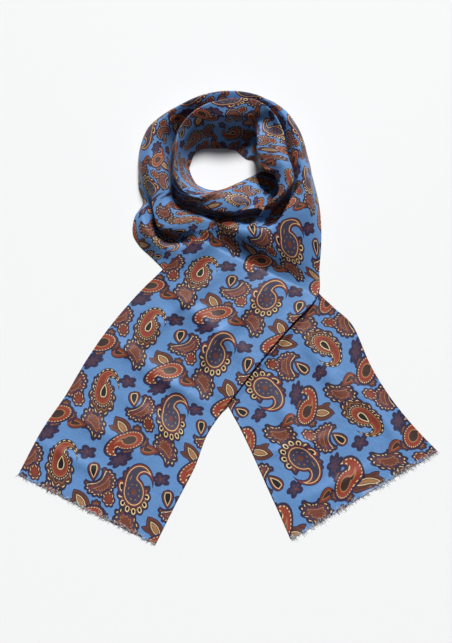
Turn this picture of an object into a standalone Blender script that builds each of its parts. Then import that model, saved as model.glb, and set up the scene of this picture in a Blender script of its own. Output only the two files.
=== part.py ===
# Silk scarf laid flat: one band of cloth with a single loop, the front end crossing over the back end.
# Lengths in the tables are millimetres.
import bmesh
import bpy
import numpy as np
from mathutils import Matrix

for old in list(bpy.data.objects):
    bpy.data.objects.remove(old, do_unlink=True)

WALL = 1.5          # cloth wall
SEAM = 0.3          # gap between neighbouring stretches
CLEAR = 2.8         # height of the upper layer over the lower one where the ends cross
LOOP_MIDDLE = (0.0, 278.0)
MIDDLE = np.array([4.1, 18.5, 0.0])     # middle of the laid scarf, set at the origin
FRONT_CUTS = 24     # sections cut through the front end, and again through the loop's first quarter
LOOP_CUTS = 44
BACK_CUTS = 18
STRANDS = 54        # fringe strands at each end
STRIP_WIDE = 2.5    # strip that the strands grow from
STRIP_THICK = 1.2
SILK_BLUE = (0.09, 0.24, 0.50, 1)

# The front end, from the fringe up to the crossing: right and left edge of the band.
FRONT_COLUMNS = ("right_x", "right_y", "left_x", "left_y")
FRONT_ROWS = [
    (-111, -365, -335, -254),
    (-80, -302, -301, -184),
    (-50, -243, -265, -127),
    (-30, -190, -230, -63),
    (3, -142, -191, -4),
    (60, -67, -142, 56),
    (107, -11, -95, 102),
    (154, 42, -48, 142),
]

# The back end, from under the front end to its fringe, with the same columns.
BACK_ROWS = [
    (-64, 6, 135, 112),
    (-43, -40, 150, 60),
    (-20, -90, 180, 26),
    (3, -142, 213, -8),
    (24, -182, 240, -75),
    (45, -227, 268, -125),
    (66, -275, 293, -160),
    (84, -315, 316, -188),
    (102, -357, 342, -216),
]

# Fold lines across the band, from its right (outer) hem to its left (inner) hem.
LINES = ("hem", "swell", "dip", "ridge", "brink", "valley", "rim", "tuck", "lap", "foot", "edge")

# Round the neck: turn about the loop's middle, then how far out each fold line lies and its height.
# The hem and the inner edge touch the table. Swell and dip lie on the slope below the ridge.
ROUND_COLUMNS = ("turn", "hem", "ridge", "ridge_z", "brink", "brink_z", "valley", "valley_z",
                 "rim", "rim_z", "tuck", "tuck_z", "lap", "lap_z", "foot", "foot_z", "edge")
ROUND_ROWS = [
    (12, 143, 125, 46, 117, 39, 109, 12, 102, 60, 82, 60, 55, 49, 53, 20, 52),
    (25, 143, 127, 46, 119, 38, 112, 12, 105, 61, 94, 54, 60, 47, 55, 16, 40),
    (40, 144, 128, 45, 121, 37, 115, 13, 109, 62, 93, 44, 69, 46, 62, 14, 36),
    (51, 141, 129, 44, 122, 36, 116, 14, 111, 62, 89, 39, 82, 36, 76, 10, 36),
    (58, 138, 128, 44, 121, 36, 116, 15, 111, 62, 87, 34, 79, 22, 69, 9, 36),
    (66, 135, 129, 43, 120, 35, 115, 16, 110, 62, 80, 34, 70, 17, 58, 9, 36),
    (80, 132, 127, 42, 114, 34, 109, 18, 104, 62, 77, 42, 61, 24, 48, 12, 35),
    (95, 131, 125, 42, 109, 33, 104, 18, 98, 62, 78, 44, 63, 28, 50, 13, 36),
    (110, 131, 124, 42, 106, 32, 101, 16, 96, 61, 79, 44, 65, 28, 52, 13, 38),
    (125, 131, 121, 42, 103, 31, 98, 13, 92, 60, 79, 44, 67, 28, 56, 13, 44),
    (140, 140, 126, 42, 99, 31, 94, 9, 87, 59, 79, 43, 72, 28, 64, 13, 54),
    (155, 153, 133, 42, 98, 31, 92, 7, 84, 58, 79, 43, 74, 28, 68, 13, 61),
    (170, 154, 132, 42, 102, 31, 96, 7, 87, 58, 82, 43, 76, 28, 70, 13, 62),
    (184, 152, 132, 41, 107, 31, 101, 7, 92, 57, 85, 43, 78, 28, 71, 13, 64),
]

# From the crossing into the loop (right side) and out of it again (left side): the two edges,
# then how far across from the right edge each fold line lies, and its height.
JOIN_COLUMNS = ("right_x", "right_y", "left_x", "left_y", "swell", "swell_z", "dip", "dip_z",
                "ridge", "ridge_z", "brink", "brink_z", "valley", "valley_z", "rim", "rim_z",
                "tuck", "tuck_z", "lap", "lap_z", "foot", "foot_z", "edge_z")
ENTER_ROWS = [
    (159, 92, -8, 164, .10, 12, .25, 22, .50, 30, .72, 34, .79, 32, .84, 30, .89, 29, .93, 28, .97, 28, 28),
    (163, 140, 45, 167, .12, 18, .28, 30, .50, 36, .70, 37, .82, 22, .89, 30, .93, 35, .96, 38, .98, 40, 41),
    (163, 180, 70, 190, .10, 18, .25, 33, .42, 42, .57, 39, .76, 10, .88, 48, .92, 51, .95, 51, .98, 50, 49),
    (160, 212, 86, 207, .10, 18, .24, 33, .40, 44, .55, 39, .68, 10, .80, 56, .86, 57, .92, 55, .96, 53, 50),
    (154, 242, 89, 224, .08, 18, .20, 34, .32, 45, .44, 39, .54, 12, .65, 58, .76, 59, .88, 55, .95, 52, 48),
    (149, 265, 80, 247, .07, 18, .17, 34, .27, 46, .37, 39, .47, 12, .57, 60, .71, 61, .90, 54, .96, 51, 46),
    (146, 284, 60, 257, .06, 18, .14, 34, .23, 46, .32, 39, .40, 12, .48, 60, .66, 61, .92, 51, .97, 48, 44),
]
LEAVE_ROWS = [
    (-151, 240, -54, 250, .06, 16, .14, 30, .24, 40, .45, 31, .51, 7, .58, 57, .68, 44, .79, 29, .90, 14, 1),
    (-143, 212, -43, 241, .05, 10, .11, 12, .20, 37, .44, 31, .50, 9, .57, 55, .67, 44, .79, 29, .90, 14, 1),
    (-157, 186, -25, 235, .10, 13, .19, 4, .26, 34, .43, 31, .49, 14, .56, 54, .67, 44, .79, 30, .89, 14, 1),
    (-160, 158, 5, 236, .12, 17, .22, 4, .29, 32, .39, 28, .44, 20, .50, 52, .62, 44, .75, 31, .88, 15, 1),
    (-148, 135, 34, 250, .14, 18, .21, 7, .27, 29, .36, 26, .41, 24, .47, 51, .60, 45, .74, 31, .88, 15, 1),
    (-128, 115, 68, 268, .19, 17, .24, 12, .29, 22, .35, 22, .40, 22, .45, 50, .57, 45, .72, 32, .87, 15, 1),
    (-107, 92, 98, 252, .17, 9, .28, 10, .38, 13, .47, 15, .54, 16, .59, 47, .68, 40, .79, 28, .90, 13, 1),
    (-97, 72, 110, 220, .14, 3, .28, 4, .42, 6, .58, 8, .69, 9, .76, 27, .82, 22, .88, 15, .95, 7, 1),
    (-86, 52, 119, 172, .10, 1, .20, 1, .30, 1, .40, 2, .52, 3, .64, 4, .76, 4, .85, 3, .93, 2, 1),
]


def flat_section(row):
    """Eleven points across a stretch that lies flat."""
    right = np.array(row[0:2], float)
    left = np.array(row[2:4], float)
    across = np.linspace(0, 1, len(LINES))[:, None]
    plan = right + (left - right) * across
    return np.column_stack([plan, np.full(len(LINES), WALL / 2)])


def round_section(row):
    """A section round the neck, from its turn, reaches and heights."""
    s = dict(zip(ROUND_COLUMNS, row))
    reach = {name: s[name] for name in LINES if name in s}
    height = {name: s.get(name + "_z", 1.0) for name in LINES}
    span = s["hem"] - s["ridge"]
    reach["swell"] = s["hem"] - 0.10 * span
    height["swell"] = 0.40 * s["ridge_z"]
    reach["dip"] = s["hem"] - 0.42 * span
    height["dip"] = 0.80 * s["ridge_z"]
    turn = np.radians(s["turn"])
    out = np.array([np.cos(turn), np.sin(turn)])
    plan = np.array(LOOP_MIDDLE) + np.array([reach[n] for n in LINES])[:, None] * out
    return np.column_stack([plan, [height[n] for n in LINES]])


def join_section(row):
    """A section between the crossing and the loop, from its edges, shares and heights."""
    s = dict(zip(JOIN_COLUMNS, row))
    share = [0.0] + [s[n] for n in LINES[1:-1]] + [1.0]
    height = [1.0] + [s[n + "_z"] for n in LINES[1:]]
    right = np.array([s["right_x"], s["right_y"]], float)
    left = np.array([s["left_x"], s["left_y"]], float)
    plan = right + (left - right) * np.array(share)[:, None]
    return np.column_stack([plan, height])


front = [flat_section(row) for row in FRONT_ROWS]
loop = [join_section(row) for row in ENTER_ROWS]
loop += [round_section(row) for row in ROUND_ROWS]
loop += [join_section(row) for row in LEAVE_ROWS]
back = [flat_section(row) for row in BACK_ROWS]
SECTIONS = np.array(front + loop + back)
LOOP_STARTS = len(front) - 1
BACK_STARTS = len(front) + len(loop)
LAST = len(SECTIONS) - 1


def smooth(points, knots, places):
    """A smooth curve through points standing at knots, read at the given places."""
    slopes = np.empty_like(points)
    step = np.diff(knots)[:, None]
    chord = np.diff(points, axis=0) / step
    slopes[0] = chord[0]
    slopes[-1] = chord[-1]
    slopes[1:-1] = (chord[:-1] * step[1:] + chord[1:] * step[:-1]) / (step[1:] + step[:-1])
    k = np.clip(np.searchsorted(knots, places, side="right") - 1, 0, len(knots) - 2)
    h = (knots[k + 1] - knots[k])[:, None]
    t = ((places - knots[k]) / h[:, 0])[:, None]
    start = points[k] * (1 + 2 * t) + slopes[k] * h * t
    stop = points[k + 1] * (3 - 2 * t) - slopes[k + 1] * h * (1 - t)
    return start * (1 - t) ** 2 + stop * t ** 2


def stretch(places, pieces):
    """The cloth's middle surface: rows along the band, columns across it from hem to edge."""
    places = np.asarray(places, float)
    knots = np.arange(len(SECTIONS), dtype=float)
    lines = np.stack([smooth(SECTIONS[:, i], knots, places) for i in range(len(LINES))], axis=1)
    rows = []
    for points in lines:
        gaps = np.linalg.norm(np.diff(points, axis=0), axis=1)
        at = np.concatenate([[0.0], np.cumsum(gaps)])
        spots = np.concatenate([np.linspace(at[i], at[i + 1], pieces + 1)[:-1] for i in range(len(at) - 1)])
        rows.append(smooth(points, at, np.append(spots, at[-1])))
    grid = np.array(rows)
    grid[..., 2] = np.maximum(grid[..., 2], WALL / 2)
    return grid


def draped(grid, below, radius):
    """The grid lifted to lie over the points of the layer below it, easing off around them."""
    lift = np.zeros(grid.shape[:2])
    for spot in np.ndindex(lift.shape):
        x, y, z = grid[spot]
        near = (below[:, 0] - x) ** 2 + (below[:, 1] - y) ** 2 < radius ** 2
        near &= below[:, 2] < z + 12
        if near.any():
            lift[spot] = max(0.0, below[near, 2].max() + CLEAR - z)
    for step in range(3):
        wide = np.pad(lift, 1, mode="edge")
        around = (wide[:-2, 1:-1] + wide[2:, 1:-1] + wide[1:-1, :-2] + wide[1:-1, 2:]) / 4
        lift = np.maximum(lift, around)
    lifted = grid.copy()
    lifted[..., 2] += lift
    return lifted


def tangents(grid):
    """Unit directions along the first axis, halfway between the two neighbouring chords."""
    chords = np.diff(grid, axis=0)
    chords /= np.linalg.norm(chords, axis=2, keepdims=True)
    both = np.concatenate([chords[:1], chords[:-1] + chords[1:], chords[-1:]])
    return both / np.linalg.norm(both, axis=2, keepdims=True)


def normals_of(grid, seams):
    """Unit normals of the whole band, shared by the two rows that meet at a seam."""
    along = tangents(grid)
    across = tangents(grid.transpose(1, 0, 2)).transpose(1, 0, 2)
    out = np.cross(along, across)
    out /= np.linalg.norm(out, axis=2, keepdims=True)
    if out[..., 2].sum() < 0:
        out = -out
    for row in seams:
        shared = out[row - 1] + out[row]
        shared /= np.linalg.norm(shared, axis=1, keepdims=True)
        out[row - 1] = shared
        out[row] = shared
    return out


def wall(grid, normals):
    """Points and faces of a closed wall on a grid: its upper side, its underside and the rim between."""
    rows, cols = grid.shape[:2]
    half = normals * WALL / 2
    points = np.concatenate([(grid + half).reshape(-1, 3), (grid - half).reshape(-1, 3)])
    points[:, 2] = np.maximum(points[:, 2], 0.0)
    count = rows * cols
    faces = []
    for i in range(rows - 1):
        for j in range(cols - 1):
            a = i * cols + j
            quad = (a, a + cols, a + cols + 1, a + 1)
            faces.append(quad)
            faces.append(tuple(count + corner for corner in reversed(quad)))
    last = count - cols
    border = list(range(cols)) + list(range(2 * cols - 1, count, cols))
    border += list(range(count - 2, last - 1, -1)) + list(range(last - cols, 0, -cols))
    for a, b in zip(border, border[1:] + border[:1]):
        faces.append((a, b, count + b, count + a))
    return points, faces


def wall_object(name, grid, normals):
    points, faces = wall(grid, normals)
    mesh = bpy.data.meshes.new(name)
    mesh.from_pydata(((points - MIDDLE) / 1000).tolist(), [], faces)
    return placed(name, mesh)


def fringe_object(name, right, left, inside, seed):
    """A frayed end: a narrow backing strip beside the cloth's end, with strands drawn out of it."""
    chance = np.random.default_rng(seed)
    length = np.linalg.norm(left - right)
    along = (left - right) / length
    out = np.array([-along[1], along[0], 0.0])
    if np.dot(out, inside - right) > 0:
        out = -out
    cells = 2 * STRANDS + 1
    bm = bmesh.new()
    bmesh.ops.create_cube(bm, size=1.0)
    bmesh.ops.scale(bm, vec=(length, STRIP_WIDE, STRIP_THICK), verts=bm.verts)
    bmesh.ops.translate(bm, vec=(length / 2, SEAM + STRIP_WIDE / 2, STRIP_THICK / 2), verts=bm.verts)
    long_edges = [e for e in bm.edges if e.calc_length() > length / 2]
    bmesh.ops.subdivide_edges(bm, edges=long_edges, cuts=cells - 1, use_grid_fill=True)
    bm.normal_update()
    fronts = [f for f in bm.faces if f.normal.y > 0.9]
    fronts.sort(key=lambda f: f.calc_center_median().x)
    for root in fronts[1::2]:
        middle = root.calc_center_median().x
        tip = bmesh.ops.extrude_discrete_faces(bm, faces=[root])["faces"][0]
        reach = chance.uniform(4.0, 9.5)
        lean = chance.uniform(-1.6, 1.6)
        narrow = chance.uniform(0.35, 0.65)
        for corner in tip.verts:
            corner.co.x = middle + lean + (corner.co.x - middle) * narrow
            corner.co.y += reach
            corner.co.z = 0.9 if corner.co.z > STRIP_THICK / 2 else 0.2
    start = np.array([right[0], right[1], 0.0]) - MIDDLE
    placing = Matrix((
        (along[0], out[0], 0, start[0]),
        (along[1], out[1], 0, start[1]),
        (0, 0, 1, 0),
        (0, 0, 0, 1),
    ))
    bmesh.ops.transform(bm, matrix=Matrix.Scale(0.001, 4) @ placing, verts=bm.verts)
    bmesh.ops.recalc_face_normals(bm, faces=bm.faces)
    mesh = bpy.data.meshes.new(name)
    bm.to_mesh(mesh)
    bm.free()
    return placed(name, mesh)


def placed(name, mesh):
    """The mesh's object in the scarf's collection, with its own silk, in triangles facing out."""
    bm = bmesh.new()
    bm.from_mesh(mesh)
    bmesh.ops.recalc_face_normals(bm, faces=bm.faces)
    bmesh.ops.triangulate(bm, faces=bm.faces, quad_method="SHORT_EDGE")
    bm.to_mesh(mesh)
    bm.free()
    silk = bpy.data.materials.new(name + "_silk")
    silk.use_nodes = True
    shader = silk.node_tree.nodes["Principled BSDF"]
    shader.inputs["Base Color"].default_value = SILK_BLUE
    shader.inputs["Roughness"].default_value = 0.5
    shader.inputs["Sheen Weight"].default_value = 0.2
    mesh.materials.append(silk)
    obj = bpy.data.objects.new(name, mesh)
    scarf.objects.link(obj)
    return obj


scarf = bpy.data.collections.new("silk_scarf")
bpy.context.scene.collection.children.link(scarf)

# Neighbouring stretches are parted by the seam gap: a small step along the band at each seam.
front_part = SEAM / np.linalg.norm(SECTIONS[LOOP_STARTS - 1, 5] - SECTIONS[LOOP_STARTS, 5])
back_part = SEAM / np.linalg.norm(SECTIONS[BACK_STARTS - 1, 5] - SECTIONS[BACK_STARTS, 5])
places = np.concatenate([
    np.linspace(0, LOOP_STARTS - front_part, FRONT_CUTS),
    np.linspace(LOOP_STARTS, LOOP_STARTS + len(ENTER_ROWS) + 1, FRONT_CUTS),
    np.linspace(LOOP_STARTS + len(ENTER_ROWS) + 1, BACK_STARTS - back_part, LOOP_CUTS)[1:],
    np.linspace(BACK_STARTS, LAST, BACK_CUTS),
])
loop_first = FRONT_CUTS
back_first = len(places) - BACK_CUTS
seams = (loop_first, back_first)

# The front end lies over the loop's last stretch and the back end, so those are measured first.
lower = np.arange(BACK_STARTS - len(LEAVE_ROWS), LAST + 0.01, 0.2)
band = stretch(places, 2)
upper = 2 * FRONT_CUTS
band[:upper] = draped(band[:upper], stretch(lower, 5).reshape(-1, 3), 10)
normals = normals_of(band, seams)

wall_object("front_leg", band[:loop_first], normals[:loop_first])
wall_object("neck_loop", band[loop_first:back_first], normals[loop_first:back_first])
wall_object("back_leg", band[back_first:], normals[back_first:])
fringe_object("front_fringe", SECTIONS[0, 0], SECTIONS[0, -1], SECTIONS[1, 5], 7)
fringe_object("back_fringe", SECTIONS[LAST, 0], SECTIONS[LAST, -1], SECTIONS[LAST - 1, 5], 11)
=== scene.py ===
# A printed silk scarf laid flat: one band with frayed ends, wound once as round a neck, its front end on top.
import math

import bpy
import numpy as np
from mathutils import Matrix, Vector


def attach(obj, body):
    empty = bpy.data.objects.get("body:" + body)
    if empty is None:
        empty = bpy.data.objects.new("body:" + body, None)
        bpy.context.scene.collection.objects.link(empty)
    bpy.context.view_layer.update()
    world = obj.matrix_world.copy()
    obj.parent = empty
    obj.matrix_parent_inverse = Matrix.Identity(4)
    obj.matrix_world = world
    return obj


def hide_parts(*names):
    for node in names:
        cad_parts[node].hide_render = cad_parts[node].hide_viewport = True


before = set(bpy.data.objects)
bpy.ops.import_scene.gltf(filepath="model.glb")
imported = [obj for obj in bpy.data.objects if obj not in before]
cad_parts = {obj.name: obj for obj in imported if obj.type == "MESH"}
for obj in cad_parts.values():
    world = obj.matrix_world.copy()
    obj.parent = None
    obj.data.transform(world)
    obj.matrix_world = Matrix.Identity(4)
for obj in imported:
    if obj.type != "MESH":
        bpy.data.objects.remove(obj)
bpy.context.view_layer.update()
bpy.ops.object.select_all(action="DESELECT")


# ---------------------------------------------------------------- the camera
# It stands before the scarf's ends and looks down steeply, as someone does who bends over a table.
# The angle is measured from the table, and the distance is in metres.
CAMERA_TILT = math.radians(75)
CAMERA_AWAY = 1.8
CAMERA_AIM = Vector((-0.0041, -0.0185, 0.0))

camera_way = Vector((0, -math.cos(CAMERA_TILT), math.sin(CAMERA_TILT)))
bpy.ops.object.camera_add(location=CAMERA_AIM + CAMERA_AWAY * camera_way)
camera = bpy.context.object
camera.name = "camera"
camera.rotation_euler = (math.pi / 2 - CAMERA_TILT, 0, 0)
camera.data.lens = 60
camera.data.sensor_width = 36
bpy.context.scene.camera = camera


# ---------------------------------------------------------------- the band of silk
# One band of doubled twill, its long sides left as soft tube folds. It is gathered lengthwise round the neck. The
# tables give its edges and fold lines in millimetres, section by section, from the front fringe to the back one.
WALL = 1.5              # the lowest middle surface lies half of this above the table
CLEAR = 2.9             # how far the upper layer's middle stands off the lower one's
GATHER_ALONG = 1.42     # how closely the print lies round the neck, along the band
GATHER_ACROSS = 1.85    # and across it
LOOP_MIDDLE = (0.0, 278.0)
MIDDLE = np.array([4.1, 18.5, 0.0])     # where the scarf's own middle lies in the tables

# right_x, right_y, left_x, left_y
FRONT_ROWS = [
    (-111, -365, -335, -254),
    (-80, -302, -301, -184),
    (-50, -243, -265, -127),
    (-30, -190, -230, -63),
    (3, -142, -191, -4),
    (60, -67, -142, 56),
    (107, -11, -95, 102),
    (154, 42, -48, 142),
]


# the same columns, from under the front end to the back fringe
BACK_ROWS = [
    (-64, 6, 135, 112),
    (-43, -40, 150, 60),
    (-20, -90, 180, 26),
    (3, -142, 213, -8),
    (24, -182, 240, -75),
    (45, -227, 268, -125),
    (66, -275, 293, -160),
    (84, -315, 316, -188),
    (102, -357, 342, -216),
]


# fold lines across the band, from its right (outer) hem to its left (inner) one
LINES = ("hem", "swell", "dip", "ridge", "brink", "valley", "rim", "tuck", "lap", "foot", "edge")


# round the neck: turn about the loop's middle, reach and height of each fold line
ROUND_COLUMNS = ("turn", "hem", "ridge", "ridge_z", "brink", "brink_z", "valley", "valley_z",
                 "rim", "rim_z", "tuck", "tuck_z", "lap", "lap_z", "foot", "foot_z", "edge")
ROUND_ROWS = [
    (12, 143, 125, 46, 116, 39, 101, 12, 102, 60, 82, 60, 55, 50, 56, 18, 52),
    (25, 143, 127, 46, 118, 38, 104, 12, 105, 61, 94, 54, 60, 49, 61, 14, 40),
    (40, 144, 128, 45, 120, 37, 108, 13, 109, 62, 93, 46, 69, 48, 70, 12, 36),
    (51, 141, 129, 44, 121, 36, 110, 14, 111, 62, 89, 45, 82, 38, 80, 10, 36),
    (58, 138, 128, 44, 120, 36, 110, 15, 111, 62, 85, 48, 79, 26, 69, 9, 36),
    (66, 135, 129, 43, 119, 35, 109, 16, 110, 62, 80, 50, 72, 26, 58, 9, 36),
    (80, 132, 127, 42, 113, 35, 109, 10, 104, 62, 75, 54, 68, 28, 50, 12, 35),
    (95, 131, 125, 42, 111, 35, 107, 8, 98, 62, 73, 54, 66, 30, 52, 13, 36),
    (110, 131, 124, 43, 113, 36, 107, 4, 97, 61, 76, 50, 67, 30, 53, 13, 38),
    (125, 132, 125, 43, 118, 37, 106, 3, 95, 60, 79, 46, 68, 30, 56, 13, 44),
    (140, 141, 130, 43, 121, 37, 105, 3, 93, 59, 80, 44, 73, 29, 64, 13, 54),
    (155, 153, 135, 43, 121, 37, 103, 3, 90, 58, 80, 43, 75, 28, 68, 13, 61),
    (170, 154, 133, 42, 114, 36, 99, 3, 86, 58, 81, 43, 76, 28, 70, 13, 62),
    (184, 152, 132, 41, 104, 35, 95, 3, 86, 57, 82, 43, 77, 28, 71, 13, 64),
]


# from the crossing into the loop and out of it: both edges, then each line's share across and height
JOIN_COLUMNS = ("right_x", "right_y", "left_x", "left_y", "swell", "swell_z", "dip", "dip_z",
                "ridge", "ridge_z", "brink", "brink_z", "valley", "valley_z", "rim", "rim_z",
                "tuck", "tuck_z", "lap", "lap_z", "foot", "foot_z", "edge_z")
ENTER_ROWS = [
    (159, 92, -8, 164, .10, 12, .25, 22, .50, 30, .72, 34, .79, 32, .84, 30, .89, 29, .93, 28, .97, 28, 28),
    (163, 140, 47, 172, .12, 18, .28, 30, .64, 38, .76, 24, .84, 14, .88, 12, .92, 11, .95, 10, .97, 9, 8),
    (163, 180, 68, 190, .10, 18, .28, 38, .64, 46, .68, 7, .86, 3, .89, 47, .93, 50, .96, 50, .98, 50, 49),
    (160, 212, 86, 207, .10, 18, .28, 38, .62, 46, .67, 7, .83, 3, .86, 55, .90, 57, .94, 55, .97, 53, 50),
    (154, 242, 89, 224, .08, 18, .20, 34, .32, 45, .50, 39, .63, 7, .65, 58, .76, 59, .88, 55, .95, 52, 48),
    (149, 265, 80, 247, .07, 18, .17, 34, .27, 46, .41, 39, .55, 9, .57, 60, .71, 61, .90, 54, .96, 51, 46),
    (146, 284, 60, 257, .06, 18, .14, 34, .23, 46, .34, 39, .465, 11, .48, 60, .66, 61, .92, 51, .97, 48, 44),
]
LEAVE_ROWS = [
    (-151, 240, -54, 250, .06, 16, .14, 30, .24, 40, .53, 34, .57, 4, .65, 56, .73, 44, .81, 29, .90, 14, 1),
    (-143, 212, -43, 241, .05, 10, .11, 12, .20, 37, .46, 34, .50, 5, .62, 55, .70, 44, .80, 29, .90, 14, 1),
    (-157, 186, -25, 235, .10, 15, .24, 4, .245, 35, .43, 33, .53, 12, .63, 52, .71, 44, .80, 29, .90, 14, 1),
    (-160, 158, 5, 236, .12, 18, .235, 4, .24, 33, .42, 31, .53, 15, .62, 49, .70, 43, .80, 29, .90, 14, 1),
    (-148, 135, 34, 250, .11, 19, .19, 5, .195, 30, .40, 28, .51, 24, .58, 46, .68, 42, .79, 30, .90, 14, 1),
    (-128, 115, 65, 270, .10, 15, .17, 4, .24, 25, .39, 26, .475, 18, .48, 33, .61, 40, .74, 31, .88, 15, 1),
    (-107, 92, 98, 252, .14, 9, .26, 12, .38, 16, .48, 17, .56, 9, .56, 37, .66, 41, .78, 29, .90, 13, 1),
    (-97, 72, 110, 220, .14, 3, .28, 4, .42, 6, .60, 9, .76, 6, .77, 34, .82, 22, .88, 12, .94, 5, 1),
    (-86, 52, 119, 172, .10, 1, .20, 1, .30, 1, .40, 2, .52, 3, .64, 4, .76, 4, .85, 3, .93, 2, 1),
]


# how the cloth turns at each fold line, from 1 for a soft roll to 0.3 for a sharp fold, at some of the sections
TURN_COLUMNS = ("section",) + LINES
TURN_ROWS = [
    (7, 1, 1, 1, 1, 1, 1, 1, 1, 1, 1, 1),
    (9, 1, 1, 1, .6, .9, .9, .9, 1, 1, 1, 1),
    (10, 1, 1, 1, .4, .45, .4, .35, .9, .8, .8, 1),
    (11, 1, 1, 1, .4, .45, .4, .35, .9, .8, .8, 1),
    (12, 1, 1, 1, .8, .4, .4, .35, .9, .8, .8, 1),
    (17, 1, 1, 1, .8, .5, .4, .35, .9, .3, .4, 1),
    (19, 1, 1, 1, .8, .5, .4, .35, .6, .4, .6, 1),
    (22, 1, 1, 1, .8, .5, .4, .35, .35, .6, .9, 1),
    (26, 1, 1, 1, .8, .5, .35, .35, .7, .9, .9, 1),
    (30, 1, .9, .6, .5, .5, .35, .35, .8, .9, .9, 1),
    (32, 1, .9, .4, .35, .7, .7, .7, .9, .9, .9, 1),
    (35, 1, .9, .4, .4, .6, .4, .35, .8, .9, .9, 1),
    (37, 1, 1, 1, 1, 1, 1, 1, 1, 1, 1, 1),
]


def flat_section(row):
    """Eleven points across a stretch that lies flat."""
    right = np.array(row[0:2], float)
    left = np.array(row[2:4], float)
    across = np.linspace(0, 1, len(LINES))[:, None]
    plan = right + (left - right) * across
    return np.column_stack([plan, np.full(len(LINES), WALL / 2)])


def round_section(row):
    """A section round the neck, from its turn, reaches and heights."""
    s = dict(zip(ROUND_COLUMNS, row))
    reach = {name: s[name] for name in LINES if name in s}
    height = {name: s.get(name + "_z", 1.0) for name in LINES}
    span = s["hem"] - s["ridge"]
    reach["swell"] = s["hem"] - 0.10 * span
    height["swell"] = 0.40 * s["ridge_z"]
    reach["dip"] = s["hem"] - 0.42 * span
    height["dip"] = 0.80 * s["ridge_z"]
    turn = np.radians(s["turn"])
    out = np.array([np.cos(turn), np.sin(turn)])
    plan = np.array(LOOP_MIDDLE) + np.array([reach[n] for n in LINES])[:, None] * out
    return np.column_stack([plan, [height[n] for n in LINES]])


def join_section(row):
    """A section between the crossing and the loop, from its edges, shares and heights."""
    s = dict(zip(JOIN_COLUMNS, row))
    share = [0.0] + [s[n] for n in LINES[1:-1]] + [1.0]
    height = [1.0] + [s[n + "_z"] for n in LINES[1:]]
    right = np.array([s["right_x"], s["right_y"]], float)
    left = np.array([s["left_x"], s["left_y"]], float)
    plan = right + (left - right) * np.array(share)[:, None]
    return np.column_stack([plan, height])


front = [flat_section(row) for row in FRONT_ROWS]
loop = [join_section(row) for row in ENTER_ROWS]
loop += [round_section(row) for row in ROUND_ROWS]
loop += [join_section(row) for row in LEAVE_ROWS]
back = [flat_section(row) for row in BACK_ROWS]
SECTIONS = np.array(front + loop + back)
LOOP_STARTS = len(front) - 1
BACK_STARTS = len(front) + len(loop)
LAST = len(SECTIONS) - 1


def smooth(points, knots, places, turn=1.0):
    """A smooth curve through points standing at knots, read at the given places."""
    slopes = np.empty_like(points)
    step = np.diff(knots)[:, None]
    chord = np.diff(points, axis=0) / step
    slopes[0] = chord[0]
    slopes[-1] = chord[-1]
    slopes[1:-1] = (chord[:-1] * step[1:] + chord[1:] * step[:-1]) / (step[1:] + step[:-1])
    slopes = slopes * turn
    k = np.clip(np.searchsorted(knots, places, side="right") - 1, 0, len(knots) - 2)
    h = (knots[k + 1] - knots[k])[:, None]
    t = ((places - knots[k]) / h[:, 0])[:, None]
    start = points[k] * (1 + 2 * t) + slopes[k] * h * t
    stop = points[k + 1] * (3 - 2 * t) - slopes[k + 1] * h * (1 - t)
    return start * (1 - t) ** 2 + stop * t ** 2


FINE = 13               # columns between two fold lines
HEM_STEPS = np.array([0.0, 0.12, 0.4, 0.9, 1.8, 3.2])     # extra columns beside each hem, from its very edge inwards
EDGE = 4                # columns from there to the next fold line
# the fold line, counted from the right hem, that each column stands at
COLUMN_LINE = np.concatenate([np.linspace(0, 0.3, len(HEM_STEPS)), np.linspace(0.3, 1, EDGE + 1)[1:-1],
                              np.arange(FINE * 8 + 1) / FINE + 1, np.linspace(9, 9.7, EDGE + 1)[1:-1],
                              np.linspace(9.7, 10, len(HEM_STEPS))])


def stretch(places):
    """The cloth's middle surface: rows along the band, columns across it from hem to edge."""
    knots = np.arange(len(SECTIONS), dtype=float)
    lines = np.stack([smooth(SECTIONS[:, i], knots, places) for i in range(len(LINES))], axis=1)
    table = dict(zip(TURN_COLUMNS, np.array(TURN_ROWS).T))
    turns = np.stack([np.interp(places, table["section"], table[name]) for name in LINES], axis=1)
    rows = []
    for points, turn in zip(lines, turns):
        gaps = np.linalg.norm(np.diff(points, axis=0), axis=1)
        at = np.concatenate([[0.0], np.cumsum(gaps)])
        first = HEM_STEPS * min(1, 0.15 * gaps[0])
        last = at[-1] - (HEM_STEPS * min(1, 0.15 * gaps[-1]))[::-1]
        spots = [np.linspace(at[i], at[i + 1], FINE + 1)[1:] for i in range(1, 9)]
        spots = np.concatenate([first, np.linspace(first[-1], at[1], EDGE + 1)[1:], *spots,
                                np.linspace(at[9], last[0], EDGE + 1)[1:-1], last])
        rows.append(smooth(points, at, spots, turn[:, None]))
    grid = np.array(rows)
    grid[..., 2] = np.maximum(grid[..., 2], WALL / 2)
    return grid


NEAR = 5                # the upper layer lies flat over what is nearer than this
SAG = 14                # and sags beyond it, more steeply the smaller this is
FAR = 34                # what lies farther off doesn't carry it
TALLER = 12             # and what stands this much higher is beside it, not below
PASSES = 6              # how often the lift is evened out


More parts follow.
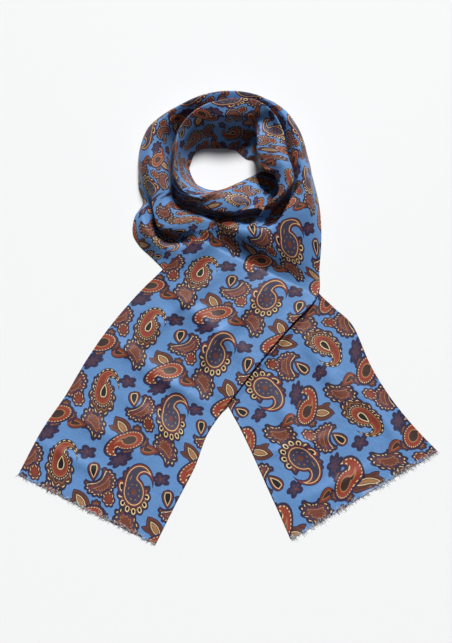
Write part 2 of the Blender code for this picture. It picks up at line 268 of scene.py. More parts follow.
def draped(grid, below):
    """The grid lifted to lie over the layer below it, as a soft sheet with no sharp step."""
    lift = np.zeros(grid.shape[:2])
    for row, raised in zip(grid, lift):
        away = np.hypot(below[None, :, 0] - row[:, None, 0], below[None, :, 1] - row[:, None, 1])
        rest = below[None, :, 2] + CLEAR - np.maximum(away - NEAR, 0) ** 2 / SAG
        rest[(away > FAR) | (below[None, :, 2] > row[:, None, 2] + TALLER)] = -1
        raised[:] = np.maximum(rest.max(axis=1) - row[:, 2], 0)
    for _ in range(PASSES):
        lift[1:-1] = (lift[:-2] + 2 * lift[1:-1] + lift[2:]) / 4
        lift[:, 1:-1] = (lift[:, :-2] + 2 * lift[:, 1:-1] + lift[:, 2:]) / 4
    lifted = grid.copy()
    lifted[..., 2] += lift
    return lifted


# soft ripples of the two loose ends, and one hem that stands off the cloth below: from, to, half width and height
RIPPLE_COLUMNS = ("from_x", "from_y", "to_x", "to_y", "wide", "high")
RIPPLES = [
    (158, 46, 2, -144, 5, 3.7),
    (70, 70, -120, -150, 15, 4.3),
    (0, 96, -170, -62, 11, 3.7),
    (-152, -78, -30, -142, 10, 3.9),
    (-196, -30, -60, -120, 12, 2.9),
    (-170, -130, -70, -205, 13, 3.3),
    (-262, -150, -130, -232, 15, 3.2),
    (-300, -205, -190, -262, 9, 2.4),
    (-90, 50, 40, -70, 12, 3.2),
    (118, -8, 205, -150, 14, 3.8),
    (72, -120, 160, -262, 12, 3.3),
    (60, -225, 190, -190, 9, 2.4),
    (196, -90, 290, -214, 11, 3.3),
    (120, -300, 250, -236, 10, 2.7),
]


def rippled(grid):
    """The grid raised along the ripples."""
    raised = grid.copy()
    for row in RIPPLES:
        s = dict(zip(RIPPLE_COLUMNS, row))
        start = np.array([s["from_x"], s["from_y"]])
        way = np.array([s["to_x"], s["to_y"]]) - start
        along = ((grid[..., :2] - start) @ way) / (way @ way)
        nearest = start + np.clip(along, 0, 1)[..., None] * way
        away = np.linalg.norm(grid[..., :2] - nearest, axis=2)
        crest = s["high"] * np.exp(-(away / s["wide"]) ** 2)
        raised[..., 2] += crest * np.sin(np.pi * np.clip(along, 0.02, 0.98)) ** 0.6
    return raised


def tangents(grid):
    """Unit directions along the first axis, halfway between the two neighbouring chords."""
    chords = np.diff(grid, axis=0)
    chords /= np.linalg.norm(chords, axis=2, keepdims=True)
    both = np.concatenate([chords[:1], chords[:-1] + chords[1:], chords[-1:]])
    return both / np.linalg.norm(both, axis=2, keepdims=True)


def normals_of(grid):
    """Unit normals of the middle surface, facing up where the cloth lies flat."""
    out = np.cross(tangents(grid), tangents(grid.transpose(1, 0, 2)).transpose(1, 0, 2))
    out /= np.linalg.norm(out, axis=2, keepdims=True)
    return out if out[..., 2].sum() > 0 else -out


def run_of(line, gather=1.0):
    """Length along a line of points, counted from its first one."""
    return np.concatenate([[0.0], np.cumsum(np.linalg.norm(np.diff(line, axis=0), axis=1) * gather)])


OUTER_LINE, INNER_LINE = 3.5, 6.6     # the lines that the print's way round the neck is measured along
ALONG_FROM, ACROSS_FROM = 5, 4.6      # the lines from which it follows the inner way, and is measured from the left hem
GATHER_FROM = 9.2       # the section where the gathering begins
GATHER_OVER = 2.6       # the sections it takes to reach its full measure
RELEASE_OVER = 2.5      # and to end again before the back end
TAKE_UP = 1.07          # the most that the print is drawn together across a stretch that lies flat


def on_bolt(grid, places, start, width):
    """Where each point lies on the flat cloth, in millimetres: along the band, and across it from the right hem.
    Round the neck the cloth is gathered, so more of the print goes into each centimetre. The outer and the inner fold
    are measured from their own hems there, and the valley between them takes the rest."""
    across = np.stack([run_of(row) for row in grid])
    full = across[:, -1:]
    begins = np.clip((places - GATHER_FROM) / GATHER_OVER, 0, 1)
    ends = np.clip((BACK_STARTS - places) / RELEASE_OVER, 0, 1)
    ease = (begins * ends)[:, None]
    even = np.clip(width / full, 1.0, TAKE_UP) * (1 - ease)
    gather = even + GATHER_ACROSS * ease
    step = (even + GATHER_ALONG * ease)[1:, 0]
    outer = run_of(grid[:, np.searchsorted(COLUMN_LINE, OUTER_LINE)], step)
    inner = run_of(grid[:, np.searchsorted(COLUMN_LINE, INNER_LINE)], step)
    share = np.clip(COLUMN_LINE - ALONG_FROM, 0, 1)
    along = start + outer[:, None] * (1 - share) + inner[:, None] * share
    from_left = np.minimum(width, full * gather) - (full - across) * gather
    share = np.clip(COLUMN_LINE - ACROSS_FROM, 0, 1)
    return np.dstack([along, across * gather * (1 - share) + from_left * share])


FRONT_SHARE, LOOP_SHARE, BACK_SHARE = 140, 330, 160     # rows along each stretch
HIDDEN = 95             # rows at the loop's end that lie under the front end
RAISED = 85             # rows at its start that are draped with the front end
READ_COLUMN = 40        # the column that the way from an end is read along
WIDTH, BACK_WIDTH = 250.0, 255.0      # of the print across the front end and the loop, and across the back end
BACK_SHIFT = 15.7       # how far along the print the back end begins
front_places = np.append(np.linspace(0, LOOP_STARTS - 0.01, FRONT_SHARE), LOOP_STARTS)
loop_places = np.insert(np.linspace(LOOP_STARTS, BACK_STARTS, LOOP_SHARE), 1, LOOP_STARTS + 0.01)
back_places = np.linspace(BACK_STARTS, LAST, BACK_SHARE)
ring_places = np.concatenate([front_places, loop_places[1:]])
ring = stretch(ring_places)
back_grid = rippled(stretch(back_places))
lower = np.concatenate([ring[-HIDDEN::2, ::2].reshape(-1, 3), back_grid[::2, ::2].reshape(-1, 3)])
split = len(front_places)
ring[:split + RAISED] = draped(ring[:split + RAISED], lower)
ring[:split] = rippled(ring[:split])
ring_normals = normals_of(ring)
ring_bolt = on_bolt(ring, ring_places, 0.0, WIDTH)
back_bolt = on_bolt(back_grid, back_places, BACK_SHIFT, BACK_WIDTH)


# ---------------------------------------------------------------- the printed silk
# Silk twill, dyed blue and printed with upright paisleys, buds and small leaves in rust, brick, cream and navy.
# The pattern is worked out on the flat cloth, in millimetres, and repeats along the band and across it.
REPEAT = 137.0          # along the band
COLUMN = 127.0          # across it, from one row of large motifs to the next
SHEAR = 15 / 127
RED_AT = (48.0, 196.0)  # middle of the first red motif
TURN = math.radians(33)  # how far the motifs lean from the band's direction
GROUND = (0.115, 0.255, 0.520)
INK = (0.012, 0.010, 0.014)
NAVY = (0.030, 0.022, 0.060)
RED = (0.290, 0.045, 0.028)
BRICK = (0.225, 0.042, 0.028)
RUST = (0.165, 0.048, 0.030)
BROWN = (0.095, 0.036, 0.026)
UMBER = (0.055, 0.028, 0.024)
TAN = (0.360, 0.170, 0.070)
CREAM = (0.740, 0.580, 0.300)
SLATE = (0.050, 0.050, 0.090)
PLUM = (0.070, 0.038, 0.068)

silk = bpy.data.materials.new("printed_silk_twill")
silk.use_nodes = True
nodes, links = silk.node_tree.nodes, silk.node_tree.links


def fill(socket, value):
    """A link or a plain value into a socket."""
    if isinstance(value, bpy.types.NodeSocket):
        links.new(value, socket)
    else:
        socket.default_value = value


def calc(how, *values):
    node = nodes.new("ShaderNodeMath")
    node.operation = how
    for socket, value in zip(node.inputs, values):
        fill(socket, value)
    return node.outputs[0]


def vector(how, *values):
    node = nodes.new("ShaderNodeVectorMath")
    node.operation = how
    for socket, value in zip(node.inputs, values):
        fill(socket, value)
    return node.outputs["Value" if how in ("DISTANCE", "DOT_PRODUCT", "LENGTH") else "Vector"]


def parts(spot):
    node = nodes.new("ShaderNodeSeparateXYZ")
    links.new(spot, node.inputs[0])
    return node.outputs[0], node.outputs[1]


def joined(x, y):
    node = nodes.new("ShaderNodeCombineXYZ")
    fill(node.inputs[0], x)
    fill(node.inputs[1], y)
    return node.outputs[0]


def frame_of(spot, x, y, turn=0, wide=1.0, tall=1.0):
    """The same place seen from a motif's own middle, turned and stretched."""
    node = nodes.new("ShaderNodeMapping")
    node.vector_type = "TEXTURE"
    links.new(spot, node.inputs["Vector"])
    node.inputs["Location"].default_value = (x, y, 0)
    node.inputs["Rotation"].default_value = (0, 0, math.radians(turn))
    node.inputs["Scale"].default_value = (wide, tall, 1)
    return node.outputs[0]


def angle_of(spot):
    x, y = parts(spot)
    return calc("ARCTAN2", y, x)


def motif(u, v, columns):
    """The place seen from the nearest repeat of a motif that stands u, v from the red one, upright."""
    x, y = RED_AT[0] + u + SHEAR * (RED_AT[1] + v), RED_AT[1] + v
    half = (REPEAT / 2, COLUMN * columns / 2)
    spot = vector("WRAP", sheared, (x + half[0], y + half[1], 1), (x - half[0], y - half[1], -1))
    spot = vector("SUBTRACT", spot, (x, y, 0))
    lean, rise = math.sin(TURN), math.cos(TURN)
    return joined(vector("DOT_PRODUCT", spot, (lean, -rise - SHEAR * lean, 0)),
                  vector("DOT_PRODUCT", spot, (rise, lean - SHEAR * rise, 0)))


def petals(foot, angle, count, at, half, long):
    """How far outside a ring of petals."""
    turn = calc("WRAP", calc("MULTIPLY", angle, count / math.tau), 1, 0)
    aside = calc("MULTIPLY_ADD", turn, math.tau / count * at / half, -math.pi / count * at / half)
    out = calc("MULTIPLY_ADD", vector("LENGTH", foot), 1 / long, -at / long)
    return calc("SUBTRACT", vector("LENGTH", joined(aside, out)), 1)


def dyed(cloth, mask, colour):
    node = nodes.new("ShaderNodeMix")
    node.data_type = "RGBA"
    fill(node.inputs[0], mask)
    fill(node.inputs[6], cloth if isinstance(cloth, bpy.types.NodeSocket) else (*cloth, 1))
    fill(node.inputs[7], colour if isinstance(colour, bpy.types.NodeSocket) else (*colour, 1))
    return node.outputs[2]


def banded(cloth, away, bands):
    """Bands of colour inside a shape's edge, from its middle outwards, each up to its own distance."""
    low = bands[0][0] - 0.2
    span = (bands[-1][0] - low) * 1.04
    ramp = nodes.new("ShaderNodeValToRGB")
    ramp.color_ramp.interpolation = "CONSTANT"
    links.new(calc("MULTIPLY_ADD", away, 1 / span, -low / span), ramp.inputs[0])
    stops = ramp.color_ramp.elements
    stops[0].position, stops[0].color = 0, (*bands[0][1], 1)
    stops[1].position, stops[1].color = (bands[-1][0] - low) / span, (*bands[-1][1], 0)
    for (end, _), (_, colour) in zip(bands, bands[1:]):
        stop = stops.new((end - low) / span)
        stop.color = (*colour, 1)
    return dyed(cloth, ramp.outputs["Alpha"], ramp.outputs["Color"])


def disc(spot, x, y, size):
    """How far outside a round of that radius."""
    return calc("SUBTRACT", vector("DISTANCE", spot, (x, y, 0)), size)


def bent_drop(spot, body, x, y, reach, thick, tip=0.35, soft=4.0):
    """How far outside a bent drop: a round body, and a tail that thins along an arc round x, y."""
    arc = frame_of(spot, x, y)
    slope = thick / (3.1416 - tip)
    thin = calc("MULTIPLY_ADD", angle_of(arc), slope, -slope * tip)
    tail = calc("SUBTRACT", calc("ABSOLUTE", disc(arc, 0, 0, reach)), thin)
    return calc("SMOOTH_MIN", disc(spot, 0, 0, body), tail, soft)


def leaf(spot, half, long):
    """How far outside a leaf with two points."""
    round_of = (half * half + long * long) / (2 * half)
    return calc("MAXIMUM", disc(spot, half - round_of, 0, round_of), disc(spot, round_of - half, 0, round_of))


def tear(spot, size, long):
    """How far outside a drop that hangs from its point: pointed above, round below."""
    x, y = parts(spot)
    full = size / ((2 * long + 2 * size) / 3 * ((size + long) / 3) ** 0.5)
    bottom = calc("SQRT", calc("ADD", y, size))
    half = calc("MULTIPLY", calc("MULTIPLY", calc("SUBTRACT", long, y), bottom), full)
    return calc("MAXIMUM", calc("SUBTRACT", calc("ABSOLUTE", x), half), calc("SUBTRACT", -size, y))


def lobes(angle, count, depth, start=0.0):
    """A scalloped line round a motif: how much it stands out at each angle."""
    wave = calc("SINE", calc("MULTIPLY_ADD", angle, count / 2, start))
    return calc("MULTIPLY", calc("ABSOLUTE", wave), depth)


def flower(spot, x, y, size, count, depth):
    """How far outside a small scalloped round."""
    return calc("SUBTRACT", disc(spot, x, y, size), lobes(angle_of(frame_of(spot, x, y)), count, depth))


def beads(angle, away, count, at, half, start=0.0, share=0.1):
    """Where small light dots lie along a line that keeps a set distance from a shape."""
    wave = calc("SINE", calc("MULTIPLY_ADD", angle, count, start))
    return calc("MULTIPLY", calc("GREATER_THAN", wave, share), calc("COMPARE", away, at, half))


def red_paisley(cloth, u, v):
    spot = motif(u, v, 2)
    shape = frame_of(spot, -4, -7, -3, 1.08, 1.5)
    angle = angle_of(shape)
    drop = bent_drop(shape, 12.5, 12, 7.5, 14.5, 7.4, 0.75)
    cup = calc("SUBTRACT", disc(shape, -1.0, -4.0, 19), lobes(angle, 11, 3.4))
    halo = calc("MINIMUM", cup, flower(shape, -6.5, 11, 8.5, 9, 2.0))
    cloth = banded(cloth, halo, ((-7.6, UMBER), (-6.8, TAN), (-2.2, BROWN), (0.6, NAVY)))
    cloth = dyed(cloth, beads(angle, halo, 17, -3.1, 0.6), CREAM)
    cloth = banded(cloth, calc("SUBTRACT", drop, 3.4), ((-1.6, UMBER), (0, NAVY)))
    cloth = dyed(cloth, beads(angle, drop, 25, 1.9, 0.55), CREAM)
    cloth = banded(cloth, drop, ((-3.6, BRICK), (-1.0, RED), (0, TAN)))
    core = tear(frame_of(spot, -3, -8, -14), 6.6, 18)
    return banded(cloth, core, ((-2.3, INK), (-0.7, CREAM), (0.6, UMBER)))


def blue_paisley(cloth, u, v):
    spot = motif(u, v, 2)
    shape = frame_of(spot, -4, -6, -2, 1.2, 1.6)
    angle = angle_of(shape)
    drop = bent_drop(shape, 12.5, 12, 8, 14.5, 7.4, 0.75)
    foot = frame_of(shape, 0, -1.5)
    foot_angle = angle_of(foot)
    bloom = calc("SUBTRACT", disc(foot, 0, 0, 20.4), lobes(foot_angle, 13, 2.6))
    bloom = calc("MAXIMUM", bloom, calc("SUBTRACT", parts(shape)[1], 5))
    halo = calc("MINIMUM", bloom, flower(shape, -4, 13.5, 9.5, 9, 2.2))
    cloth = banded(cloth, halo, ((-5.0, RUST), (-3.8, TAN), (-1.9, BROWN), (0.6, NAVY)))
    petal = petals(foot, foot_angle, 13, 17.6, 3.1, 3.9)
    petal = calc("MAXIMUM", petal, calc("SUBTRACT", parts(shape)[1], -2))
    cloth = banded(cloth, petal, ((-0.45, INK), (-0.1, CREAM), (0.12, BROWN)))
    side = frame_of(shape, -15.5, 6, 14, 1.0, 1.5)
    cloth = banded(cloth, disc(side, 0, 0, 6.2), ((-3.9, INK), (-2.9, CREAM), (-1.4, BRICK), (0.4, NAVY)))
    cloth = banded(cloth, calc("SUBTRACT", drop, 3.2), ((-2.4, CREAM), (-0.9, BRICK), (0.4, NAVY)))
    cloth = banded(cloth, drop, ((-9.4, RUST), (-7.6, SLATE), (-6.6, PLUM), (-1.2, SLATE), (0, RUST)))
    return dyed(cloth, beads(angle, drop, 8, -4.6, 0.6, 0.0, 0.5), TAN)


def lying_paisley(cloth, u, v):
    spot = motif(u, v, 1)
    shape = frame_of(spot, 15, -7, 100, -1.22, 2.0)
    angle = angle_of(shape)
    drop = bent_drop(shape, 12, 8.5, 4, 12.5, 7.6)
    blade = leaf(frame_of(spot, 5, 17, 24), 12, 23)
    spike = leaf(frame_of(spot, -5, 17, 62), 5.2, 13)
    cloth = banded(cloth, calc("MINIMUM", blade, spike),
                   ((-8.8, TAN), (-7.8, SLATE), (-6.6, CREAM), (-2.2, BROWN), (-0.8, RUST), (0.8, NAVY)))
    edges = calc("MINIMUM", flower(spot, 10, -22, 9, 9, 2.2), flower(spot, 36, -11, 9, 9, 2.2))
    edges = calc("MINIMUM", edges, flower(spot, 28, 9, 7.5, 7, 2.0))
    cloth = banded(cloth, edges, ((-6.0, RUST), (-5.0, TAN), (-1.9, BROWN), (0.4, NAVY)))
    cloth = banded(cloth, drop, ((-6.6, UMBER), (-5.4, TAN), (-2.0, RED), (-0.2, RUST), (1.8, NAVY)))
    return dyed(cloth, beads(angle, drop, 27, -1.2, 0.5), CREAM)


def small_bud(cloth, u, v):
    shape = frame_of(motif(u, v, 1), 0, 0, 8, 1.0, 1.35)
    angle = angle_of(shape)
    edge = calc("SUBTRACT", disc(shape, 0, 0, 9.2), lobes(angle, 7, 1.9))
    cloth = banded(cloth, edge, ((-5.2, BRICK), (-4.2, UMBER), (-1.6, RUST), (0.4, NAVY)))
    return dyed(cloth, beads(angle, edge, 8, -3.0, 0.5), CREAM)


def wing(cloth, u, v):
    spot = motif(u, v, 1)
    shape = frame_of(spot, 11, 0, 14, 1.12, 1.72)
    angle = angle_of(shape)
    edge = calc("SUBTRACT", disc(shape, 0, 0, 15.5), lobes(angle, 11, 2.6))
    edge = calc("MAXIMUM", edge, calc("SUBTRACT", 8.0, vector("DISTANCE", shape, (-16.5, -10, 0))))
    cloth = banded(cloth, edge, ((-9.4, RUST), (-8.4, TAN), (-4.6, PLUM), (-2.2, UMBER), (0.4, NAVY)))
    cloth = dyed(cloth, beads(angle, edge, 17, -3.2, 0.6), CREAM)
    cloth = dyed(cloth, beads(angle, edge, 5, -6.4, 0.7), BRICK)
    stalk = tear(frame_of(spot, -22, 3, -106), 8.8, 22)
    return banded(cloth, stalk, ((-5.6, UMBER), (-4.4, TAN), (-1.8, BRICK), (-0.4, RUST), (1.2, UMBER)))


def crescent(cloth, u, v):
    spot = motif(u, v, 1)
    shape = frame_of(spot, 1, -8, 12, 1.5, 1.32)
    angle = angle_of(shape)
    moon = calc("SUBTRACT", disc(shape, 0, 0, 16.4), lobes(angle, 15, 1.9))
    moon = calc("MAXIMUM", moon, calc("SUBTRACT", 9.5, vector("DISTANCE", shape, (-4.5, 13.5, 0))))
    cloth = banded(cloth, moon, ((-8.6, RUST), (-7.8, TAN), (-4.2, PLUM), (-2.0, BROWN), (0.4, NAVY)))
    cloth = dyed(cloth, beads(angle, moon, 24, -3.1, 0.55), CREAM)
    cloth = dyed(cloth, beads(angle, moon, 6, -6.0, 0.8), BRICK)
    drop = tear(frame_of(spot, -7, 17, 172), 9.6, 22)
    return banded(cloth, drop, ((-5.2, INK), (-4.0, CREAM), (-2.6, BRICK), (-1.2, BROWN), (0.8, NAVY)))


def sprig(cloth, u, v):
    spot = frame_of(motif(u, v, 1), 0, 0, -10, 1.45, 1.05)
    edge = flower(spot, 0, 0, 7.4, 5, 4.4)
    cloth = banded(cloth, edge, ((-5.0, PLUM), (0, NAVY)))
    return dyed(cloth, calc("LESS_THAN", disc(spot, 0, 1, 1.5), 0), RUST)


def twig(cloth, u, v):
    spot = frame_of(motif(u, v, 1), 0, 0, 18, 2.35, 1.35)
    return banded(cloth, flower(spot, 0, 0, 6.4, 7, 3.0), ((-3.8, PLUM), (0, NAVY)))


bolt = nodes.new("ShaderNodeUVMap")
bolt.uv_map = "bolt"
flat = vector("MULTIPLY", bolt.outputs[0], (1000, 1000, 0))
sheared = joined(vector("DOT_PRODUCT", flat, (1, SHEAR, 0)), vector("DOT_PRODUCT", flat, (0, 1, 0)))

cloth = GROUND
cloth = crescent(cloth, 3, -67)
cloth = wing(cloth, 72, -3)
cloth = lying_paisley(cloth, 76, -63)
cloth = small_bud(cloth, -35, 32)
cloth = sprig(cloth, 31, -29)
cloth = twig(cloth, 43, -82)
cloth = red_paisley(cloth, 0, 0)
cloth = blue_paisley(cloth, 15, -127)


def noise(scale, detail):
    """An uneven pattern on the flat cloth, with so many waves to a millimetre."""
    node = nodes.new("ShaderNodeTexNoise")
    node.inputs["Scale"].default_value = scale
    node.inputs["Detail"].default_value = detail
    links.new(flat, node.inputs["Vector"])
    return node.outputs["Fac"]


# faded and frayed towards the two ends, where the weft has been drawn out
from_end = nodes.new("ShaderNodeAttribute")
from_end.attribute_name = "from_end"
speck = noise(0.24, 4)
worn = calc("MULTIPLY_ADD", from_end.outputs["Fac"], -1 / 13, 0.10)
worn = calc("ADD", worn, calc("MULTIPLY_ADD", speck, 3.0, -1.5))
worn.node.use_clamp = True
cloth = dyed(cloth, worn, (0.60, 0.65, 0.71))

# slight unevenness of the dye, and the twill's slanting ribs
dye = noise(0.035, 4)
mottle = noise(0.42, 2)
uneven = calc("ADD", calc("MULTIPLY", dye, 0.3), calc("MULTIPLY", mottle, 0.5))
tone = nodes.new("ShaderNodeHueSaturation")
links.new(calc("ADD", uneven, 0.6), tone.inputs["Value"])
links.new(cloth, tone.inputs["Color"])

ribs = nodes.new("ShaderNodeTexWave")
ribs.wave_type = "BANDS"
ribs.bands_direction = "DIAGONAL"
ribs.inputs["Scale"].default_value = 0.55
ribs.inputs["Distortion"].default_value = 0.6
ribs.inputs["Detail"].default_value = 1
links.new(flat, ribs.inputs["Vector"])
crinkle = noise(0.11, 3)
height = calc("MULTIPLY_ADD", ribs.outputs["Fac"], 0.06, calc("MULTIPLY", crinkle, 1.1))
bump = nodes.new("ShaderNodeBump")
bump.inputs["Strength"].default_value = 0.45
bump.inputs["Distance"].default_value = 0.001
links.new(height, bump.inputs["Height"])

shader = nodes["Principled BSDF"]
links.new(tone.outputs[0], shader.inputs["Base Color"])
links.new(bump.outputs[0], shader.inputs["Normal"])
shader.inputs["Roughness"].default_value = 0.50
shader.inputs["Specular IOR Level"].default_value = 0.22
shader.inputs["Sheen Weight"].default_value = 0.05
shader.inputs["Sheen Roughness"].default_value = 0.4
shader.inputs["Sheen Tint"].default_value = (0.75, 0.85, 1.0, 1)


# ---------------------------------------------------------------- the three stretches of cloth
# The front end, the stretch round the neck and the back end: one doubled cloth a millimetre thick, a little fuller
# along the folded sides. They meet edge to edge, as one cloth.
HALF = 0.5              # half the doubled cloth's thickness
ROLL = 0.45             # how much fuller it is along the folded sides
TABLE_GAP = 0.05        # the lowest that any of it lies above the table
UNWORN = 400.0          # from any end, far enough that nothing fades


def face_outwards(piece):
    """All faces of a piece turned outwards."""
    bpy.context.view_layer.objects.active = piece
    piece.select_set(True)
    bpy.ops.object.mode_set(mode="EDIT")
    bpy.ops.mesh.select_all(action="SELECT")
    bpy.ops.mesh.normals_make_consistent(inside=False)
    bpy.ops.object.mode_set(mode="OBJECT")
    piece.select_set(False)


def cloth_piece(name, node, grid, normals, bolt, from_end):
    """A thin closed shell on a stretch of the middle surface, with its place on the bolt."""
    rows, cols = grid.shape[:2]
    half = np.full(cols, HALF)
    roll = HALF + ROLL * np.exp(-((HEM_STEPS - 1.4) / 1.6) ** 2)
    roll *= np.sqrt(np.clip(HEM_STEPS / 0.9, 0, 1))
    half[:len(roll)] = roll
    half[-len(roll):] = roll[::-1]
    offset = normals * half[None, :, None]
    points = np.concatenate([(grid + offset).reshape(-1, 3), (grid - offset).reshape(-1, 3)])
    points[:, 2] = np.maximum(points[:, 2], TABLE_GAP)
    count = rows * cols
    under = np.arange(count) + count
    for column in (0, cols - 1):
        under[column::cols] = np.arange(column, count, cols)
    faces = []
    for i in range(rows - 1):
        for j in range(cols - 1):
            a = i * cols + j
            faces.append((a, a + cols, a + cols + 1, a + 1))
    faces += [tuple(under[list(reversed(face))]) for face in list(faces)]
    for row, turned in ((0, False), (rows - 1, True)):
        for j in range(cols - 1):
            a, b = row * cols + j, row * cols + j + 1
            rim = (a, b, under[b], under[a]) if not turned else (b, a, under[a], under[b])
            faces.append(tuple(dict.fromkeys(int(k) for k in rim)))
    used = np.unique(np.concatenate([np.ravel(face) for face in faces]))
    new = np.zeros(2 * count, int)
    new[used] = np.arange(len(used))
    faces = [tuple(int(new[k]) for k in face) for face in faces]
    mesh = bpy.data.meshes.new(name)
    mesh.from_pydata(((points[used] - MIDDLE) / 1000).tolist(), [], faces)
    piece = bpy.data.objects.new(name, mesh)
    bpy.context.scene.collection.objects.link(piece)
    spots = np.concatenate([bolt.reshape(-1, 2), bolt.reshape(-1, 2)])[used] / 1000
    corner = np.empty(len(mesh.loops), int)
    mesh.loops.foreach_get("vertex_index", corner)
    mesh.uv_layers.new(name="bolt").data.foreach_set("uv", spots[corner].ravel())
    worn = mesh.attributes.new("from_end", "FLOAT", "POINT")
    worn.data.foreach_set("value", np.tile(np.repeat(from_end, cols), 2)[used])
    mesh.materials.append(silk)
    mesh.shade_smooth()
    row_of = (used % count) // cols
    for edge in mesh.edges:
        first, second = row_of[edge.vertices[0]], row_of[edge.vertices[1]]
        edge.use_edge_sharp = bool(first == second and first in (0, rows - 1))
    face_outwards(piece)
    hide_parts(node)
    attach(piece, "root")
    return piece


far = np.full(len(loop_places), UNWORN)
front_leg = cloth_piece("front_leg_silk", "front_leg", ring[:split], ring_normals[:split], ring_bolt[:split],
                        run_of(ring[:split, READ_COLUMN]))
neck_loop = cloth_piece("neck_loop_silk", "neck_loop", ring[split - 1:], ring_normals[split - 1:],
                        ring_bolt[split - 1:], far)
back_leg = cloth_piece("back_leg_silk", "back_leg", back_grid, normals_of(back_grid), back_bolt,
                       run_of(back_grid[::-1, READ_COLUMN])[::-1])


# ---------------------------------------------------------------- the frayed ends
# Both ends are left raw: the weft is drawn out along the last millimetres, and the warp threads stand out singly and
# in tufts, 5 to 7 mm on average and up to 10 mm at the front end and 14 mm at the back one.
STRIP = 2.8             # how far the backing strip stands out of the cloth, on average
CELLS = 90              # steps along it
THREADS = 620
TUFT = 7                # threads to a tuft
FRONT_FRAY, BACK_FRAY = 7.0, 10.0     # the measure that each end's threads are drawn from, longer and shorter


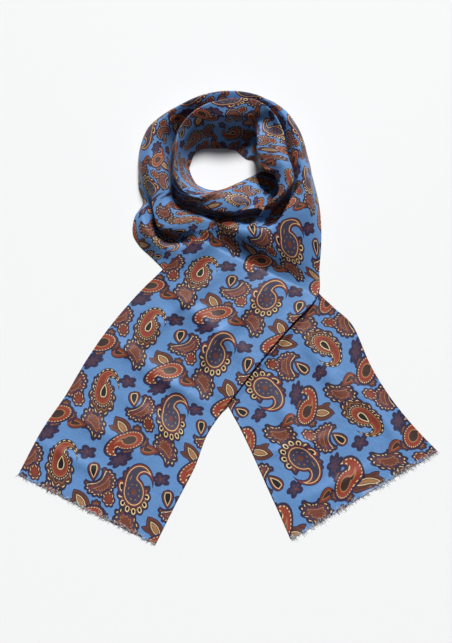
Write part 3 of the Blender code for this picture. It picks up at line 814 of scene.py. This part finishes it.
def frayed_end(name, node, end, inward, bolt_end, seed, long):
    """A narrow backing strip beside the cloth's end, with three-sided threads standing out of it."""
    chance = np.random.default_rng(seed)
    right, left = end[0], end[-1]
    length = np.linalg.norm(left - right)
    along = (left - right) / length
    out = np.array([-along[1], along[0], 0.0])
    if np.dot(out, inward - right) > 0:
        out = -out
    points, faces, spots, worn = [], [], [], []

    def spot_of(share, reach):
        u = bolt_end[0, 0] + reach * (-1 if bolt_end[0, 0] < 5 else 1)
        v = np.interp(share, np.linspace(0, 1, len(bolt_end)), bolt_end[:, 1])
        return (u / 1000, v / 1000)

    for i in range(CELLS + 1):
        share = i / CELLS
        root = right + along * length * share + out * 0.02
        tip = root + out * (STRIP + chance.uniform(-1.2, 1.2))
        for place, z, reach in ((root, 1.25, 0), (tip, 0.9, STRIP), (tip, 0.2, STRIP), (root, 0.25, 0)):
            points.append((place[0], place[1], z))
            spots.append(spot_of(share, reach))
            worn.append(-reach)
    for i in range(CELLS):
        a = 4 * i
        for k in range(4):
            faces.append((a + k, a + (k + 1) % 4, a + 4 + (k + 1) % 4, a + 4 + k))
    faces += [(3, 2, 1, 0), tuple(4 * CELLS + k for k in range(4))]
    for i in range(THREADS):
        share = (i + chance.uniform(0.1, 0.9)) / THREADS
        if i % TUFT == 0:
            tuft, fullness = chance.uniform(-0.5, 0.5), chance.uniform(0.35, 1.25)
        reach = long * fullness * (chance.uniform(0.3, 0.8) if chance.random() < 0.8 else chance.uniform(0.7, 1.0))
        lean = tuft + chance.uniform(-0.35, 0.35)
        bow = chance.uniform(-0.5, 0.5)
        thick = chance.uniform(0.14, 0.26)
        high = chance.uniform(0.5, 1.6)
        base = len(points)
        for k in range(4):
            t = k / 3
            side = reach * (lean * t + bow * t * t)
            middle = right + along * (length * share + side) + out * (STRIP - 1.0 + reach * t)
            z = max(0.7 + (high - 0.7) * math.sin(math.pi * t) - 0.35 * t, 0.3)
            wide = thick * (1 - 0.6 * t)
            for turn in (90, 210, 330):
                a = math.radians(turn)
                spot = middle + along * wide * math.cos(a)
                points.append((spot[0], spot[1], z + wide * math.sin(a)))
                spots.append(spot_of(share, STRIP + reach * t))
                worn.append(-STRIP - reach * t)
        for k in range(3):
            a = base + 3 * k
            for m in range(3):
                n = (m + 1) % 3
                faces.append((a + m, a + n, a + 3 + n, a + 3 + m))
        faces += [(base + 2, base + 1, base), (base + 9, base + 10, base + 11)]
    mesh = bpy.data.meshes.new(name)
    mesh.from_pydata(((np.array(points) - MIDDLE * (1, 1, 0)) / 1000).tolist(), [], faces)
    piece = bpy.data.objects.new(name, mesh)
    bpy.context.scene.collection.objects.link(piece)
    corner = np.empty(len(mesh.loops), int)
    mesh.loops.foreach_get("vertex_index", corner)
    mesh.uv_layers.new(name="bolt").data.foreach_set("uv", np.array(spots)[corner].ravel())
    mesh.attributes.new("from_end", "FLOAT", "POINT").data.foreach_set("value", worn)
    mesh.materials.append(silk)
    face_outwards(piece)
    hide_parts(node)
    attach(piece, "root")
    return piece


front_fringe = frayed_end("front_fringe_threads", "front_fringe", ring[0], ring[5, READ_COLUMN], ring_bolt[0],
                          seed=7, long=FRONT_FRAY)
back_fringe = frayed_end("back_fringe_threads", "back_fringe", back_grid[-1], back_grid[-6, READ_COLUMN],
                         back_bolt[-1], seed=11, long=BACK_FRAY)


# ---------------------------------------------------------------- the table and the light
# A white table under a broad soft light from behind, with little else to fill the folds, so that the walls that face
# the viewer stay dark. The table isn't part of the scarf.
bpy.ops.mesh.primitive_plane_add(size=8)
floor = bpy.context.object
floor.name = "table_top"
paper = bpy.data.materials.new("white_table")
paper.use_nodes = True
paper.node_tree.nodes["Principled BSDF"].inputs["Base Color"].default_value = (0.88, 0.885, 0.89, 1)
paper.node_tree.nodes["Principled BSDF"].inputs["Roughness"].default_value = 0.7
floor.data.materials.append(paper)
floor.select_set(False)

bpy.ops.object.light_add(type="SUN", location=(0.36, 2.56, 2.5))
window = bpy.context.object
window.name = "window"
window.data.angle = math.radians(16)
window.data.energy = 4.4
window.rotation_euler = window.location.to_track_quat("Z", "Y").to_euler()
window.select_set(False)
bpy.ops.object.light_add(type="AREA", location=(-0.2, -0.9, 4.0))
ceiling = bpy.context.object
ceiling.name = "ceiling"
ceiling.data.size = 1.6
ceiling.data.energy = 5
ceiling.rotation_euler = ceiling.location.to_track_quat("Z", "Y").to_euler()
ceiling.select_set(False)

room = bpy.data.worlds.new("pale_room")
bpy.context.scene.world = room
room.use_nodes = True
room.node_tree.nodes["Background"].inputs[0].default_value = (1, 1, 1, 1)
room.node_tree.nodes["Background"].inputs[1].default_value = 0.03
bpy.context.scene.view_settings.view_transform = "Standard"
